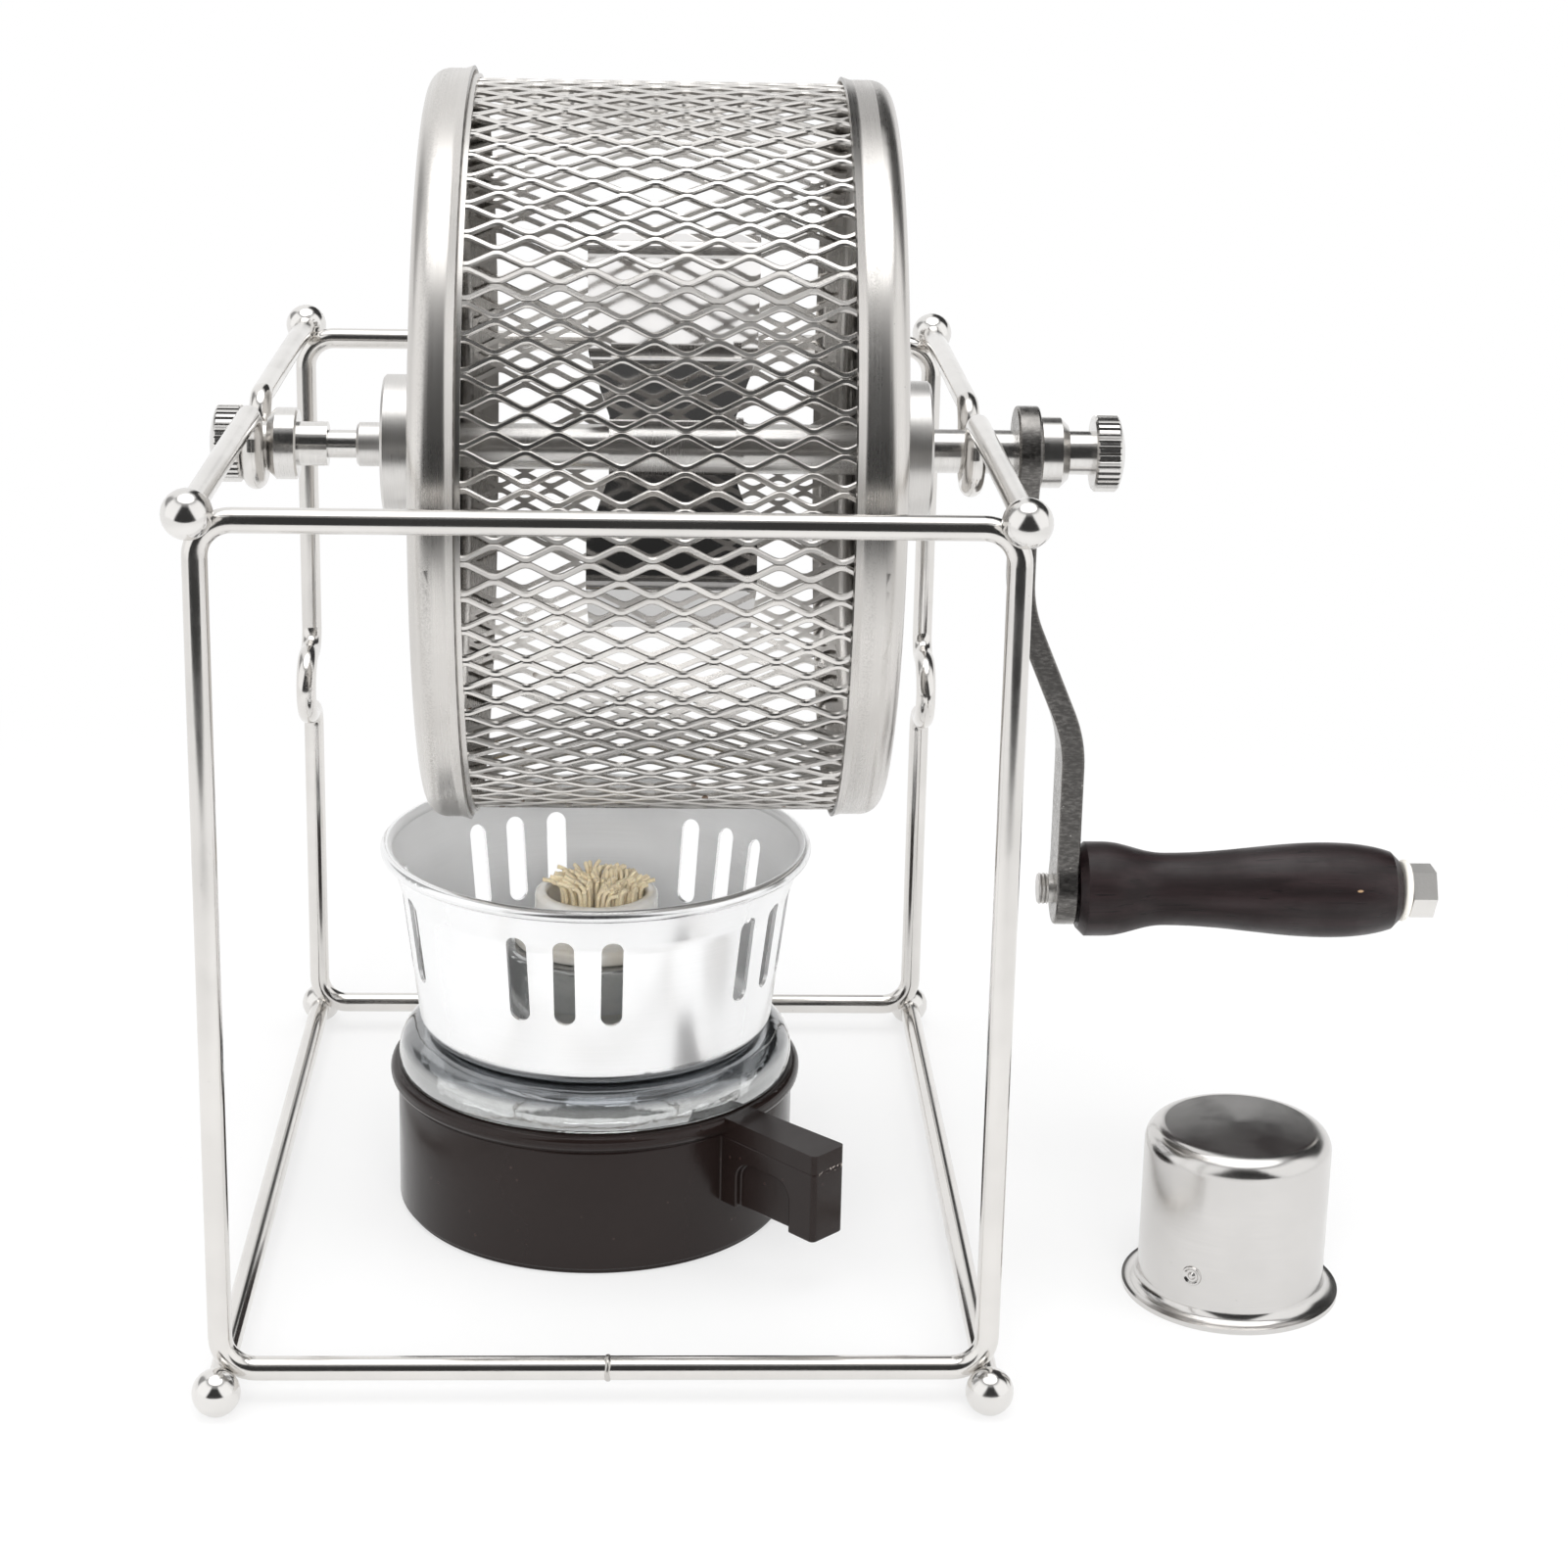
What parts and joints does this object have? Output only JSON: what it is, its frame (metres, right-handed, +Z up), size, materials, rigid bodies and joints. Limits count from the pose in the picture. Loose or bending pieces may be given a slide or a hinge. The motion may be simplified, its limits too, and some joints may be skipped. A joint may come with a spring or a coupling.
{
  "type": "hand-crank coffee roaster",
  "caption": "Tabletop coffee roaster: a mesh drum turned by a hand crank on a bent-wire stand over an alcohol burner, with the burner's snuffer cap beside it.",
  "frame": {"origin": "on the table, under the middle of the wire stand, on the burner base's underside", "axes": "+X to the crank, along the drum's axis; +Y away from the viewer; +Z up"},
  "size_m": [0.2532, 0.198, 0.2374],
  "materials": {
    "wire": "polished stainless wire",
    "balls": "polished steel balls",
    "drum_sheet": "stainless sheet, brushed round the rim",
    "mesh": "expanded stainless sheet",
    "turned_steel": "lathe-turned, bright",
    "paddle_sheet": "mirror-polished stainless sheet",
    "arm": "dark gunmetal plating",
    "bolt": "zinc plated",
    "nylon": "white nylon",
    "grip_wood": "dark stained and lacquered",
    "brown_moulding": "glossy dark brown",
    "glass": "clear",
    "ceramic": "white glaze",
    "cotton": "cream cotton strands",
    "spun_aluminium": "satin, spun",
    "snuffer_metal": "chromed, softly brushed"
  },
  "bodies": {
    "stand": {"front_loop": "wire", "rear_loop": "wire", "left_top_rail": "wire", "right_top_rail": "wire", "left_bottom_rail": "wire", "right_bottom_rail": "wire", "top_ball_ends": "balls", "ball_feet": "balls"},
    "drum_carrier": {"left_thumb_nut": "turned_steel"},
    "drum": {"drive_shaft": "turned_steel", "shaft_ring": "turned_steel", "paddle_sleeve": "turned_steel", "upper_paddle": "paddle_sheet", "lower_paddle": "paddle_sheet", "drum_mesh": "mesh", "left_drum_band": "drum_sheet", "right_end_cap": "drum_sheet", "right_hub": "turned_steel", "crank_arm": "arm", "grip_bolt": "bolt", "grip_washer": "nylon"},
    "lid": {"left_end_cap": "drum_sheet", "left_hub": "turned_steel"},
    "crank_nut": {"right_thumb_nut": "turned_steel"},
    "grip": {"crank_grip": "grip_wood"},
    "burner": {"burner_cup": "brown_moulding", "burner_collar": "brown_moulding", "fuel_bowl": "glass", "wick_holder": "ceramic", "wick": "cotton", "windshield": "spun_aluminium"},
    "snuffer": {"snuffer_cap": "snuffer_metal"}
  },
  "joints": [
    {"name": "drum_lift", "type": "slide", "parent": "stand", "child": "drum_carrier", "axis": [0, 0, 1], "range_m": [0, 0.1]},
    {"name": "drum_spin", "type": "hinge", "parent": "drum_carrier", "child": "drum", "pos_m": [0, 0, 0.1628], "axis": [1, 0, 0], "continuous": true},
    {"name": "lid_slide", "type": "slide", "parent": "drum", "child": "lid", "axis": [-1, 0, 0], "range_m": [0, 0.0055]},
    {"name": "crank_nut_turn", "type": "hinge", "parent": "drum", "child": "crank_nut", "pos_m": [0.09, 0, 0.1628], "axis": [1, 0, 0], "range_deg": [0, 360]},
    {"name": "grip_spin", "type": "hinge", "parent": "drum", "child": "grip", "pos_m": [0.13, 0, 0.0695], "axis": [1, 0, 0], "continuous": true},
    {"name": "burner_slide", "type": "slide", "parent": "stand", "child": "burner", "axis": [0, -0.9836, 0.1805], "range_m": [0, 0.165]},
    {"name": "snuffer_lift", "type": "slide", "parent": "stand", "child": "snuffer", "axis": [0, -0.8, 0.6], "range_m": [0, 0.09]}
  ]
}
